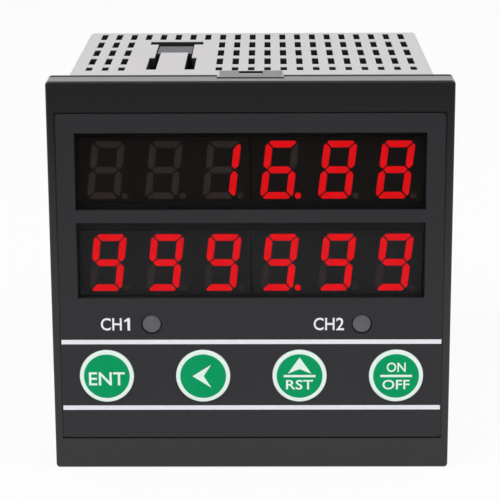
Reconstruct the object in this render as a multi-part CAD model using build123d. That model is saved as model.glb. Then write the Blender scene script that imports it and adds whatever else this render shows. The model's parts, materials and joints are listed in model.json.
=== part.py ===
"""Panel-mounted digital counter with two rows of red digits and four keys.

Millimetres. X is to the right, Z is up, and the front looks along -Y. The origin lies under the
middle of the counter, on the surface that it stands on. Depths are measured from the bezel's front
face towards the back of the case.
"""

import math
import os

from build123d import *

# Front bezel
FRONT_W = 76.0
FRONT_H = 76.0
FRONT_CORNER_R = 0.7
FRONT_EDGE_R = 0.4
FLANGE_EDGE_R = 0.3
BEZEL_D = 7.0
FLANGE = 2.25
PLATE_T = 2.6
LEDGE_T = 1.9
SCOOP_W = 12.6
SCOOP_D = 2.2
SCOOP_H = 0.5

# Clearances
FIT_GAP = 0.15
PANE_GAP = 0.1
KEY_GAP = 0.1
STEM_GAP = 0.05
SCREW_GAP = 0.05
LAMP_GAP = 0.1

# Printed film and its recess in the bezel
FRAME_SIDE = 1.4
FRAME_TOP = 5.8
FRAME_BOTTOM = 6.0
GROOVE = 0.3
FILM_T = 0.5
FILM_CORNER_R = 0.8

# Display windows, between the film's top edge and the space left for lamps and keys
WINDOW_DROP = 3.65
WINDOW_BAR = 2.5
LOWER_SPACE = 27.95
WINDOW_MARGIN = 0.33
PANE_RIM = 0.7
PANE_T = 0.9
PANE_SPACE = 0.1

# Digits of the light-emitting modules
DIGITS_PER_MODULE = 3
ROW_SIDE = 1.15
DIGIT_W = 6.2
DIGIT_MARGIN = 1.8
SEGMENT_T = 1.3
SEGMENT_GAP = 0.2
SEGMENT_CUT = 0.9
SEGMENT_D = 0.4
DOT_DIA = 1.2
DOT_GAP = 0.35
SLANT = 6.5
LOWER_ROW_DROP = 0.75
MODULE_RIM = 0.8
MODULE_SPLIT = 0.2
MODULE_T = 7.2
OPENING_GAP = 0.15

# Keys and their switches, counted up from the film's bottom edge
KEY_NAMES = ("set", "shift", "up", "reset")
KEY_SIDE = 3.35
KEY_RAISE = 12.45
KEY_DIA = 10.4
KEY_RISE = 0.3
KEY_EDGE_R = 0.2
STEM_DIA = 3.5
STEM_ENTRY = 1.5
SWITCH_W = 6.0
SWITCH_H = 3.4
STEM_SPARE = 0.6
SWITCH_COVER_T = 0.25

# Alarm lamps
LAMP_LEFT_INSET = 19.0
LAMP_RIGHT_INSET = 16.9
LAMP_DIA = 3.7
LAMP_EDGE_R = 0.4
LAMP_SUNK = 0.1
LAMP_COLLAR_DIA = 4.8
LAMP_COLLAR_T = 1.2

# Case
CASE_BACK = 73.0
CASE_CORNER_R = 1.0
CASE_EDGE_R = 0.5
WALL = 2.0

# Vent slots
VENT_COLUMNS = 21
VENT_ROWS = 5
VENT_SIDE = 1.0
VENT_ROW_PITCH = 10.5
VENT_W = 1.3
VENT_L = 7.4
FRONT_VENT_L = 4.0
VENT_BACK = 2.3

# Spring tongue cut in the top of the case
TONGUE_COLUMN = 5
TONGUE_W = 5.6
TONGUE_ROOT = 47.2
TONGUE_FLAT = 20.6
TONGUE_SUNK = 10.4
TONGUE_STEP = 0.25
TONGUE_TAPER = 0.15
TONGUE_SLOT_W = 1.0
TONGUE_SLIT_W = 0.2
TONGUE_NOTCH_W = 1.0
TONGUE_NOTCH_L = 14.2
TONGUE_END_SLOT = 4.0
TONGUE_END_W = 11.2

# Low nub on the case behind the bezel, steep in front and sloping away behind
NUB_W = 12.4
NUB_L = 4.6
NUB_H = 1.25
NUB_START = 10.2
NUB_CORNER_R = 1.2
NUB_NOTCH_W = 4.6
NUB_NOTCH_L = 0.8
NUB_NOTCH_H = 0.7

# Boards
BOARD_T = 1.6
BOARD_SPARE = 2.0
GUIDE_W = 1.2
GUIDE_H = 1.6
GUIDE_START = 1.0
GUIDE_STOP = 0.6
HEADER_W = 2.5
HEADER_L = 26.0

# Screws
POST_DIA = 4.6
POST_INSET = 3.3
BOARD_SCREW_DIA = 2.2
BOARD_SCREW_SPARE = 1.1
BOARD_SCREW_HEAD_DIA = 4.2
BOARD_SCREW_HEAD_H = 1.5
COVER_SCREW_DIA = 2.6
COVER_SCREW_L = 9.0
COVER_SCREW_HEAD_DIA = 5.0
COVER_SCREW_HEAD_H = 1.8
SLOT_W = 0.7
SLOT_D = 0.8
HEAD_EDGE_R = 0.4
CORNER_POST_W = 6.0
CORNER_POST_L = 12.0

# Mains transformer
LEG = 4.0
CORE_STACK = 12.0
COIL_H = 6.0
COIL_L = 18.0
BOBBIN_WALL = 0.8
COIL_GAP = 0.1
FLANGE_SPARE = 0.5
TRANSFORMER_START = 9.0

# Other components on the boards
RELAY_L = 19.0
RELAY_W = 15.4
RELAY_H = 15.4
RELAY_SPLIT = 28.0
RELAY_GAP = 1.5
CAPACITOR_DIA = 10.0
CAPACITOR_L = 18.0
CAPACITOR_EDGE = 4.0
CAPACITOR_BACK = 16.0
SINK_W = 20.0
SINK_L = 16.0
SINK_H = 10.0
SINK_T = 1.6
SINK_GAP = 0.5
REGULATOR_W = 10.2
REGULATOR_L = 14.0
REGULATOR_H = 4.6
CHIP_W = 14.0
CHIP_T = 1.6
CHIP_START = 14.0
CRYSTAL_W = 4.6
CRYSTAL_L = 11.0
CRYSTAL_H = 3.5
CRYSTAL_GAP = 3.0

# Rear cover and terminals
COVER_T = 2.5
REAR_BOARD_SPARE = 1.3
TERMINAL_COUNT = 12
TERMINAL_SIDE = 2.67
TERMINAL_H = 15.0
TERMINAL_D = 9.0
TERMINAL_FLOOR = 4.2
TERMINAL_FENCE = 1.2
TERMINAL_EDGE = 2.5
CLAMP_T = 0.8
CLAMP_SIDE = 0.2
CLAMP_L = 6.4
TERMINAL_SCREW_DIA = 2.5
TERMINAL_SCREW_L = 4.6
TERMINAL_HEAD_DIA = 3.4
TERMINAL_HEAD_H = 1.9
PIN_W = 1.0
PIN_OFFSET = 4.6
PIN_ENTRY = 2.5

# Which segments of each digit are lit, from left to right; p is the decimal dot
UPPER_LIT = ("", "", "bc", "acdefgp", "abcdefg", "abcdefg")
LOWER_LIT = ("abcdfg", "abcdfg", "abcdfg", "abcdfgp", "abcdfg", "abcdfg")
ALL_SEGMENTS = "abcdefgp"

# Places worked out from the sizes
TOTAL_D = KEY_RISE + CASE_BACK + TERMINAL_D
FRONT_Y = KEY_RISE - TOTAL_D / 2
MID_Z = FRONT_H / 2
CASE_W = FRONT_W - 2 * FLANGE
CASE_H = FRONT_H - 2 * FLANGE
CASE_FRONT = PLATE_T + LEDGE_T
INNER_W = CASE_W - 2 * WALL
INNER_H = CASE_H - 2 * WALL
CASE_TOP = MID_Z + CASE_H / 2
FILM_W = FRONT_W - 2 * (FRAME_SIDE + GROOVE)
FILM_TOP = FRONT_H - FRAME_TOP - GROOVE
FILM_BOTTOM = FRAME_BOTTOM + GROOVE
FILM_H = FILM_TOP - FILM_BOTTOM
FILM_Z = (FILM_TOP + FILM_BOTTOM) / 2
ROW_W = INNER_W - 2 * ROW_SIDE
DIGIT_PITCH = ROW_W / (2 * DIGITS_PER_MODULE)
MODULE_W = ROW_W / 2 - MODULE_SPLIT
WINDOW_H = (FILM_H - WINDOW_DROP - WINDOW_BAR - LOWER_SPACE) / 2
DIGIT_H = WINDOW_H - 2 * DIGIT_MARGIN
DOT_SIDE = DIGIT_W / 2 + DOT_GAP + DOT_DIA / 2
MODULE_H = DIGIT_H + 2 * MODULE_RIM
MODULE_X = ROW_W / 4
PANE_BACK = FILM_T + PANE_T
MODULE_FRONT = PANE_BACK + PANE_SPACE
WINDOW_W = ROW_W + 2 * WINDOW_MARGIN
UPPER_WINDOW_Z = FILM_TOP - WINDOW_DROP - WINDOW_H / 2
LOWER_WINDOW_Z = UPPER_WINDOW_Z - WINDOW_H - WINDOW_BAR
LOWER_ROW_Z = LOWER_WINDOW_Z - LOWER_ROW_DROP
KEY_Z = FILM_BOTTOM + KEY_RAISE
KEY_PITCH = (FILM_W - 2 * KEY_SIDE - KEY_DIA) / (len(KEY_NAMES) - 1)
KEY_XS = [(i - (len(KEY_NAMES) - 1) / 2) * KEY_PITCH for i in range(len(KEY_NAMES))]
KEY_HOLE_DIA = KEY_DIA + 2 * KEY_GAP
LAMP_Z = (LOWER_WINDOW_Z - WINDOW_H / 2 + KEY_Z + KEY_DIA / 2) / 2
LAMP_LEFT_X = LAMP_LEFT_INSET - FRONT_W / 2
LAMP_RIGHT_X = FRONT_W / 2 - LAMP_RIGHT_INSET
LAMP_HOLE_DIA = LAMP_DIA + 2 * LAMP_GAP
DISPLAY_BOARD = MODULE_FRONT + MODULE_T
DISPLAY_BACK = DISPLAY_BOARD + BOARD_T
SWITCH_FRONT = DISPLAY_BOARD - SWITCH_H
STEM_BORE_DIA = STEM_DIA + 2 * STEM_GAP
STEM_BORE_L = STEM_ENTRY + KEY_RISE + STEM_SPARE
BOARD_SCREW_L = DISPLAY_BOARD - PLATE_T - BOARD_SCREW_SPARE
POST_X = INNER_W / 2 - POST_INSET
POST_Z = INNER_H / 2 - POST_INSET
COVER_FRONT = CASE_BACK - COVER_T
REAR_BOARD_BACK = COVER_FRONT - REAR_BOARD_SPARE
REAR_BOARD = REAR_BOARD_BACK - BOARD_T
BOARD_X = INNER_W / 2 - CORNER_POST_W - BOARD_SPARE - BOARD_T / 2
BOARD_FACE_X = BOARD_X - BOARD_T / 2
CORNER_POST_X = INNER_W / 2 - CORNER_POST_W / 2
CORNER_POST_Z = INNER_H / 2 - CORNER_POST_W / 2
VENT_PITCH = (INNER_W - 2 * VENT_SIDE - VENT_W) / (VENT_COLUMNS - 1)
TONGUE_X = -TONGUE_COLUMN * VENT_PITCH
TERMINAL_W = INNER_W - 2 * TERMINAL_SIDE
TERMINAL_PITCH = (TERMINAL_W - TERMINAL_FENCE) / TERMINAL_COUNT
TERMINAL_Z = CORNER_POST_Z - COVER_SCREW_HEAD_DIA / 2 - TERMINAL_EDGE - TERMINAL_H / 2
TERMINAL_XS = [(i - (TERMINAL_COUNT - 1) / 2) * TERMINAL_PITCH for i in range(TERMINAL_COUNT)]
TERMINAL_BACK = CASE_BACK + TERMINAL_D
TERMINAL_SEAT = CASE_BACK + TERMINAL_FLOOR


# Shapes that are used again and again

def block(x, z, size_x, size_z, front, back):
    """Box centred on x and z, between two depths."""
    middle = FRONT_Y + (front + back) / 2
    return Pos(x, middle, z) * Box(size_x, back - front, size_z)


def slab(x_low, x_high, z_low, z_high, front, back):
    """Box between two sides, two heights and two depths."""
    return block((x_low + x_high) / 2, (z_low + z_high) / 2, x_high - x_low, z_high - z_low, front, back)


def rounded(x, z, size_x, size_z, front, back, radius):
    """Block whose four edges along the depth are rounded."""
    plain = block(x, z, size_x, size_z, front, back)
    return fillet(plain.edges().filter_by(Axis.Y), radius)


def rod(x, z, diameter, front, back):
    """Round bar along the depth."""
    middle = FRONT_Y + (front + back) / 2
    return Pos(x, middle, z) * Rot(90, 0, 0) * Cylinder(diameter / 2, back - front)


def bar_across(x_low, x_high, depth, z, diameter):
    """Round bar along X."""
    middle = (x_low + x_high) / 2
    return Pos(middle, FRONT_Y + depth, z) * Rot(0, 90, 0) * Cylinder(diameter / 2, x_high - x_low)


def prism(points, front, back):
    """Prism over an outline of x and z points, between two depths."""
    outline = Wire.make_polygon([(x, FRONT_Y + front, z) for x, z in points])
    return Solid.extrude(Face(outline), Vector(0, back - front, 0))


def slope(x_low, x_high, points):
    """Prism along X over an outline of depth and z points."""
    outline = Wire.make_polygon([(x_low, FRONT_Y + depth, z) for depth, z in points])
    return Solid.extrude(Face(outline), Vector(x_high - x_low, 0, 0))


def corners(x, z):
    """The four places at plus and minus x, and at z above and below the middle."""
    return [(side * x, MID_Z + level * z) for side in (-1, 1) for level in (-1, 1)]


def slotted_screw(x, z, diameter, length, head_diameter, head_height, seat):
    """Screw whose head stands behind its seat and whose shank reaches forward."""
    top = seat + head_height
    head = rod(x, z, head_diameter, seat, top)
    rim = head.edges().filter_by(GeomType.CIRCLE).sort_by(Axis.Y)[-1]
    screw = fillet(rim, HEAD_EDGE_R) + rod(x, z, diameter, seat - length, seat)
    return screw - block(x, z, head_diameter + SLOT_W, SLOT_W, top - SLOT_D, top)


def save(name, shape):
    """Write one node, of one solid or of several."""
    export_step(shape, os.path.join("parts", name + ".step"))


def save_group(name, shapes):
    """Write one node that holds several separate solids."""
    solids = [solid for shape in shapes for solid in shape.solids()]
    save(name, Compound(solids))


# Digits

def segment_outlines():
    """Outlines of one upright digit's seven bars, about its middle, with its outer corners cut off."""
    side = DIGIT_W / 2
    top = DIGIT_H / 2
    bar = SEGMENT_T
    gap = SEGMENT_GAP
    cut = SEGMENT_CUT
    far = (cut + gap) / 2
    near = (cut - gap) / 2
    top_bar = [
        (cut - side, top),
        (side - cut, top),
        (side - far, top - near),
        (side - bar - gap, top - bar),
        (bar + gap - side, top - bar),
        (far - side, top - near),
    ]
    right_bar = [
        (side - near, top - far),
        (side, top - cut),
        (side, bar / 2 + gap),
        (side - bar / 2, gap),
        (side - bar, bar / 2 + gap),
        (side - bar, top - bar - gap),
    ]
    middle_tip = side - bar / 2 - gap
    middle_bar = [
        (-middle_tip, 0),
        (bar / 2 - middle_tip, bar / 2),
        (middle_tip - bar / 2, bar / 2),
        (middle_tip, 0),
        (middle_tip - bar / 2, -bar / 2),
        (bar / 2 - middle_tip, -bar / 2),
    ]
    return {
        "a": top_bar,
        "b": right_bar,
        "c": [(u, -v) for u, v in right_bar],
        "d": [(u, -v) for u, v in top_bar],
        "e": [(-u, -v) for u, v in right_bar],
        "f": [(-u, v) for u, v in right_bar],
        "g": middle_bar,
    }


def digit_segments(x, z):
    """Solid of each segment of the slanted digit centred on x and z, by letter."""
    lean = math.tan(math.radians(SLANT))
    front = MODULE_FRONT
    back = MODULE_FRONT + SEGMENT_D
    solids = {}
    for letter, outline in segment_outlines().items():
        solids[letter] = prism([(x + u + v * lean, z + v) for u, v in outline], front, back)
    dot_v = (DOT_DIA - DIGIT_H) / 2
    solids["p"] = rod(x + DOT_SIDE + dot_v * lean, z + dot_v, DOT_DIA, front, back)
    return solids


def display_module(x, z):
    """Module body with a pocket for each segment."""
    body = block(x, z, MODULE_W, MODULE_H, MODULE_FRONT, DISPLAY_BOARD)
    pockets = []
    for i in range(DIGITS_PER_MODULE):
        digit_x = x + (i - (DIGITS_PER_MODULE - 1) / 2) * DIGIT_PITCH
        pockets += digit_segments(digit_x, z).values()
    return body - pockets


def sorted_segments():
    """All segments of both rows, as those that are lit and those that are dark."""
    lit = []
    dark = []
    for z, words in ((UPPER_WINDOW_Z, UPPER_LIT), (LOWER_ROW_Z, LOWER_LIT)):
        for i, letters in enumerate(words):
            x = (i - (len(words) - 1) / 2) * DIGIT_PITCH
            solids = digit_segments(x, z)
            lit += [solids[letter] for letter in ALL_SEGMENTS if letter in letters]
            dark += [solids[letter] for letter in ALL_SEGMENTS if letter not in letters]
    return lit, dark


# Front

def window_cut(z, grow, front, back):
    """Block as large as a window, grown on every side."""
    return block(0, z, WINDOW_W + 2 * grow, WINDOW_H + 2 * grow, front, back)


def front_bezel():
    """Frame, plate and socket of the front, with posts for the display board."""
    body = rounded(0, MID_Z, FRONT_W, FRONT_H, 0, BEZEL_D, FRONT_CORNER_R)
    body = fillet(body.faces().sort_by(Axis.Y)[0].edges(), FRONT_EDGE_R)
    body = fillet(body.faces().sort_by(Axis.Y)[-1].edges(), FLANGE_EDGE_R)
    cuts = [
        block(0, MID_Z, CASE_W + 2 * FIT_GAP, CASE_H + 2 * FIT_GAP, CASE_FRONT, BEZEL_D),
        block(0, MID_Z, INNER_W, INNER_H, PLATE_T, CASE_FRONT),
        block(0, FILM_Z, FILM_W + 2 * GROOVE, FILM_H + 2 * GROOVE, 0, FILM_T),
        block(0, FRONT_H, SCOOP_W, 2 * SCOOP_H, BEZEL_D - SCOOP_D, BEZEL_D),
    ]
    for z in (UPPER_WINDOW_Z, LOWER_WINDOW_Z):
        cuts.append(window_cut(z, PANE_RIM + PANE_GAP, FILM_T, PANE_BACK))
    for z in (UPPER_WINDOW_Z, LOWER_ROW_Z):
        cuts.append(block(0, z, ROW_W + 2 * OPENING_GAP, MODULE_H + 2 * OPENING_GAP, FILM_T, PLATE_T))
    for x in KEY_XS:
        cuts.append(rod(x, KEY_Z, KEY_HOLE_DIA, FILM_T, PLATE_T))
    for x in (LAMP_LEFT_X, LAMP_RIGHT_X):
        cuts.append(rod(x, LAMP_Z, LAMP_HOLE_DIA, FILM_T, PLATE_T))
    body -= cuts
    for x, z in corners(POST_X, POST_Z):
        body += rod(x, z, POST_DIA, PLATE_T, DISPLAY_BOARD)
        body -= rod(x, z, BOARD_SCREW_DIA + 2 * SCREW_GAP, PLATE_T, DISPLAY_BOARD)
    return body


def overlay_film():
    """Printed sheet with its windows, key holes and lamp holes."""
    sheet = rounded(0, FILM_Z, FILM_W, FILM_H, 0, FILM_T, FILM_CORNER_R)
    cuts = [window_cut(z, 0, 0, FILM_T) for z in (UPPER_WINDOW_Z, LOWER_WINDOW_Z)]
    cuts += [rod(x, KEY_Z, KEY_HOLE_DIA, 0, FILM_T) for x in KEY_XS]
    cuts += [rod(x, LAMP_Z, LAMP_HOLE_DIA, 0, FILM_T) for x in (LAMP_LEFT_X, LAMP_RIGHT_X)]
    return sheet - cuts


def window_pane(z):
    """Dark filter that lies between the film and the digits."""
    return window_cut(z, PANE_RIM, FILM_T, PANE_BACK)


def alarm_lamp(x):
    """Flat-topped lamp with a collar at its base."""
    lens = rod(x, LAMP_Z, LAMP_DIA, LAMP_SUNK, DISPLAY_BOARD)
    rim = lens.edges().filter_by(GeomType.CIRCLE).sort_by(Axis.Y)[0]
    lens = fillet(rim, LAMP_EDGE_R)
    return lens + rod(x, LAMP_Z, LAMP_COLLAR_DIA, DISPLAY_BOARD - LAMP_COLLAR_T, DISPLAY_BOARD)


def key_pad(x):
    """Low round key whose rim is eased."""
    pad = rod(x, KEY_Z, KEY_DIA, -KEY_RISE, FILM_T)
    rim = pad.edges().filter_by(GeomType.CIRCLE).sort_by(Axis.Y)[0]
    return fillet(rim, KEY_EDGE_R)


def key_stem(x):
    """Plunger between a key and the bore of its switch."""
    return rod(x, KEY_Z, STEM_DIA, FILM_T, SWITCH_FRONT + STEM_ENTRY)


def switch_body(x):
    """Housing of a key switch, with the bore that guides its stem."""
    body = block(x, KEY_Z, SWITCH_W, SWITCH_W, SWITCH_FRONT, DISPLAY_BOARD)
    return body - rod(x, KEY_Z, STEM_BORE_DIA, SWITCH_FRONT, SWITCH_FRONT + STEM_BORE_L)


def switch_cover(x):
    """Thin metal plate on the front of a key switch."""
    plate = block(x, KEY_Z, SWITCH_W, SWITCH_W, SWITCH_FRONT - SWITCH_COVER_T, SWITCH_FRONT)
    return plate - rod(x, KEY_Z, STEM_BORE_DIA, SWITCH_FRONT - SWITCH_COVER_T, SWITCH_FRONT)


# Case

def vent_slots(z_low, z_high, tongue):
    """Rows of slots through the top or the bottom wall, which leave room for the tongue."""
    slots = []
    for column in range(VENT_COLUMNS):
        x = (column - (VENT_COLUMNS - 1) / 2) * VENT_PITCH
        beside = abs(x - TONGUE_X) > TONGUE_END_W / 2 + VENT_W
        for row in range(VENT_ROWS):
            back = CASE_BACK - VENT_BACK - row * VENT_ROW_PITCH
            front = back - (FRONT_VENT_L if row == VENT_ROWS - 1 else VENT_L)
            if row == 0 or beside or not tongue:
                slots.append(slab(x - VENT_W / 2, x + VENT_W / 2, z_low, z_high, front, back))
    return slots


def tongue_cuts():
    """Slots that free the tongue, and the step down to its sunk end, which is wider."""
    root = CASE_BACK - TONGUE_ROOT
    step = root + TONGUE_FLAT
    end = step + TONGUE_SUNK
    half = TONGUE_W / 2
    wide = half + TONGUE_SLOT_W - TONGUE_SLIT_W
    cuts = [block(TONGUE_X, CASE_TOP - WALL / 2, TONGUE_END_W, WALL, end, end + TONGUE_END_SLOT)]
    for side in (-1, 1):
        slot = TONGUE_X + side * (half + TONGUE_SLOT_W / 2)
        slit = TONGUE_X + side * (wide + TONGUE_SLIT_W / 2)
        notch = TONGUE_X + side * (half + TONGUE_SLOT_W + TONGUE_NOTCH_W / 2)
        cuts.append(block(slot, CASE_TOP - WALL / 2, TONGUE_SLOT_W, WALL, root, step))
        cuts.append(block(slit, CASE_TOP - WALL / 2, TONGUE_SLIT_W, WALL, step, end))
        cuts.append(block(notch, CASE_TOP - WALL / 2, TONGUE_NOTCH_W, WALL, root, root + TONGUE_NOTCH_L))
    step_z = CASE_TOP - TONGUE_STEP
    end_z = step_z - TONGUE_TAPER
    outline = [(step, CASE_TOP), (end, CASE_TOP), (end, end_z), (step, step_z)]
    cuts.append(slope(TONGUE_X - wide, TONGUE_X + wide, outline))
    return cuts


def panel_nub():
    """Nub on top of the case that falls towards the back, with rounded front corners and a notch."""
    front = BEZEL_D + NUB_START
    back = front + NUB_L
    top = CASE_TOP + NUB_H
    nub = slope(-NUB_W / 2, NUB_W / 2, [(front, CASE_TOP), (back, CASE_TOP), (front, top)])
    nub = fillet(nub.edges().filter_by(Axis.Z), NUB_CORNER_R)
    half = NUB_NOTCH_W / 2
    return nub - slab(-half, half, top - NUB_NOTCH_H, top, front, front + NUB_NOTCH_L)


def board_guides():
    """Pairs of ribs that hold the upper and lower edges of the two long boards."""
    guides = []
    offset = BOARD_T / 2 + FIT_GAP + GUIDE_W / 2
    front = DISPLAY_BACK + GUIDE_START
    back = REAR_BOARD - GUIDE_STOP
    for x in (-BOARD_X, BOARD_X):
        for rib_x in (x - offset, x + offset):
            for level in (-1, 1):
                z = MID_Z + level * (INNER_H / 2 - GUIDE_H / 2)
                guides.append(block(rib_x, z, GUIDE_W, GUIDE_H, front, back))
    return guides


def case_shell():
    """Sleeve open at the front and at the back, with vents, a tongue, guides and corner posts."""
    body = rounded(0, MID_Z, CASE_W, CASE_H, CASE_FRONT, CASE_BACK, CASE_CORNER_R)
    body = fillet(body.faces().sort_by(Axis.Y)[-1].edges(), CASE_EDGE_R)
    body -= block(0, MID_Z, INNER_W, INNER_H, CASE_FRONT, CASE_BACK)
    posts = []
    bores = []
    for x, z in corners(CORNER_POST_X, CORNER_POST_Z):
        posts.append(block(x, z, CORNER_POST_W, CORNER_POST_W, COVER_FRONT - CORNER_POST_L, COVER_FRONT))
        bores.append(rod(x, z, COVER_SCREW_DIA + 2 * SCREW_GAP, COVER_FRONT - CORNER_POST_L, COVER_FRONT))
    body += posts + board_guides() + [panel_nub()]
    cuts = bores + tongue_cuts()
    cuts += vent_slots(CASE_TOP - WALL, CASE_TOP, True)
    cuts += vent_slots(CASE_TOP - CASE_H, CASE_TOP - CASE_H + WALL, False)
    return body - cuts


# Boards and what they carry

def display_board():
    """Board behind the digits, with its screw holes."""
    board = block(0, MID_Z, INNER_W - 2 * FIT_GAP, INNER_H - 2 * FIT_GAP, DISPLAY_BOARD, DISPLAY_BACK)
    return board - [
        rod(x, z, BOARD_SCREW_DIA + 2 * FIT_GAP, DISPLAY_BOARD, DISPLAY_BACK)
        for x, z in corners(POST_X, POST_Z)
    ]


def long_board(x):
    """Board that stands between the guides, from the display board to the rear board."""
    return block(x, MID_Z, BOARD_T, INNER_H - 2 * FIT_GAP, DISPLAY_BACK, REAR_BOARD)


def rear_board():
    """Board that carries the terminal pins."""
    height = INNER_H - 2 * (CORNER_POST_W + FIT_GAP)
    return block(0, MID_Z, INNER_W - 2 * FIT_GAP, height, REAR_BOARD, REAR_BOARD_BACK)


def board_headers():
    """Header strips in the four corners where the boards meet."""
    strips = []
    x = BOARD_FACE_X - HEADER_W / 2
    for header_x in (-x, x):
        strips.append(block(header_x, MID_Z, HEADER_W, HEADER_L, DISPLAY_BACK, DISPLAY_BACK + HEADER_W))
        strips.append(block(header_x, MID_Z, HEADER_W, HEADER_L, REAR_BOARD - HEADER_W, REAR_BOARD))
    return strips


def transformer():
    """Core, bobbin and winding of the mains transformer on the power board."""
    flange_reach = CORE_STACK / 2 + COIL_H
    x = flange_reach - BOARD_FACE_X
    front = DISPLAY_BACK + TRANSFORMER_START
    back = front + COIL_L + 2 * LEG
    coil_front = front + LEG
    coil_back = back - LEG
    core = block(x, MID_Z, CORE_STACK, 4 * LEG + 2 * COIL_H, front, back)
    for level in (-1, 1):
        core -= block(x, MID_Z + level * (LEG + COIL_H / 2), CORE_STACK, COIL_H, coil_front, coil_back)
    leg_w = CORE_STACK + 2 * COIL_GAP
    leg_h = 2 * LEG + 2 * COIL_GAP
    bore = block(x, MID_Z, leg_w, leg_h, coil_front, coil_back)
    tube = block(x, MID_Z, leg_w + 2 * BOBBIN_WALL, leg_h + 2 * BOBBIN_WALL, coil_front, coil_back)
    flange_w = 2 * flange_reach
    flange_h = 2 * LEG + 2 * COIL_H - 2 * COIL_GAP
    bobbin = tube
    bobbin += block(x, MID_Z, flange_w, flange_h, coil_front, coil_front + BOBBIN_WALL)
    bobbin += block(x, MID_Z, flange_w, flange_h, coil_back - BOBBIN_WALL, coil_back)
    bobbin -= bore
    wound_front = coil_front + BOBBIN_WALL
    wound_back = coil_back - BOBBIN_WALL
    wound_w = flange_w - 2 * FLANGE_SPARE
    wound_h = flange_h - 2 * FLANGE_SPARE
    winding = rounded(x, MID_Z, wound_w, wound_h, wound_front, wound_back, BOBBIN_WALL)
    winding -= tube
    return core, bobbin, winding


def relays():
    """Two alarm relays on the main board."""
    x = BOARD_FACE_X - RELAY_H / 2
    back = REAR_BOARD - HEADER_W - RELAY_GAP
    return [
        rounded(x, MID_Z + level * RELAY_SPLIT / 2, RELAY_H, RELAY_W, back - RELAY_L, back, BOBBIN_WALL)
        for level in (-1, 1)
    ]


def filter_capacitors():
    """Two cans that lie across the power board."""
    depth = REAR_BOARD - CAPACITOR_BACK
    cans = []
    for level in (-1, 1):
        z = MID_Z + level * (INNER_H / 2 - CAPACITOR_EDGE - CAPACITOR_DIA / 2)
        cans.append(bar_across(-BOARD_FACE_X, CAPACITOR_L - BOARD_FACE_X, depth, z, CAPACITOR_DIA))
    return cans


def heat_sink():
    """Channel of sheet aluminium on the power board."""
    back = REAR_BOARD - HEADER_W - SINK_GAP
    front = back - SINK_L
    foot = -BOARD_FACE_X
    outside = SINK_W / 2
    inside = outside - SINK_T
    channel = slab(foot, foot + SINK_H, MID_Z - outside, MID_Z + outside, front, back)
    return channel - slab(foot + SINK_T, foot + SINK_H, MID_Z - inside, MID_Z + inside, front, back)


def voltage_regulator():
    """Regulator that lies in the channel of the heat sink."""
    middle = REAR_BOARD - HEADER_W - SINK_GAP - SINK_L / 2
    x = SINK_T + REGULATOR_H / 2 - BOARD_FACE_X
    return block(x, MID_Z, REGULATOR_H, REGULATOR_W, middle - REGULATOR_L / 2, middle + REGULATOR_L / 2)


def microcontroller():
    """Flat chip on the main board."""
    front = DISPLAY_BACK + CHIP_START
    return block(BOARD_FACE_X - CHIP_T / 2, MID_Z, CHIP_T, CHIP_W, front, front + CHIP_W)


def crystal():
    """Metal can beside the chip."""
    front = DISPLAY_BACK + CHIP_START + CHIP_W + CRYSTAL_GAP
    can = block(BOARD_FACE_X - CRYSTAL_H / 2, MID_Z, CRYSTAL_H, CRYSTAL_L, front, front + CRYSTAL_W)
    return fillet(can.edges().filter_by(Axis.X), CRYSTAL_W / 3)


# Rear

def terminal_places(level):
    """Middle of the upper (1) or lower (-1) block, and the height of its pins."""
    z = MID_Z + level * TERMINAL_Z
    return z, z - level * PIN_OFFSET


def rear_cover():
    """Plate that closes the case, with holes for its screws and for the terminal pins."""
    plate = block(0, MID_Z, INNER_W - 2 * FIT_GAP, INNER_H - 2 * FIT_GAP, COVER_FRONT, CASE_BACK)
    hole_w = PIN_W + 2 * FIT_GAP
    holes = []
    for x, z in corners(CORNER_POST_X, CORNER_POST_Z):
        holes.append(rod(x, z, COVER_SCREW_DIA + 2 * FIT_GAP, COVER_FRONT, CASE_BACK))
    for level in (-1, 1):
        pin_z = terminal_places(level)[1]
        holes += [block(x, pin_z, hole_w, hole_w, COVER_FRONT, CASE_BACK) for x in TERMINAL_XS]
    return plate - holes


def terminal_block(level):
    """Row of terminals with a fence between each pair and a wall towards the middle."""
    z, pin_z = terminal_places(level)
    body = block(0, z, TERMINAL_W, TERMINAL_H, CASE_BACK, TERMINAL_SEAT)
    wall_z = z - level * (TERMINAL_H - TERMINAL_FENCE) / 2
    body += block(0, wall_z, TERMINAL_W, TERMINAL_FENCE, TERMINAL_SEAT, TERMINAL_BACK)
    for i in range(TERMINAL_COUNT + 1):
        x = (i - TERMINAL_COUNT / 2) * TERMINAL_PITCH
        body += block(x, z, TERMINAL_FENCE, TERMINAL_H, TERMINAL_SEAT, TERMINAL_BACK)
    hole_w = PIN_W + 2 * FIT_GAP
    holes = []
    for x in TERMINAL_XS:
        holes.append(rod(x, z, TERMINAL_SCREW_DIA + 2 * FIT_GAP, CASE_BACK, TERMINAL_SEAT))
        holes.append(block(x, pin_z, hole_w, hole_w, CASE_BACK, CASE_BACK + PIN_ENTRY))
    return body - holes


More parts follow.
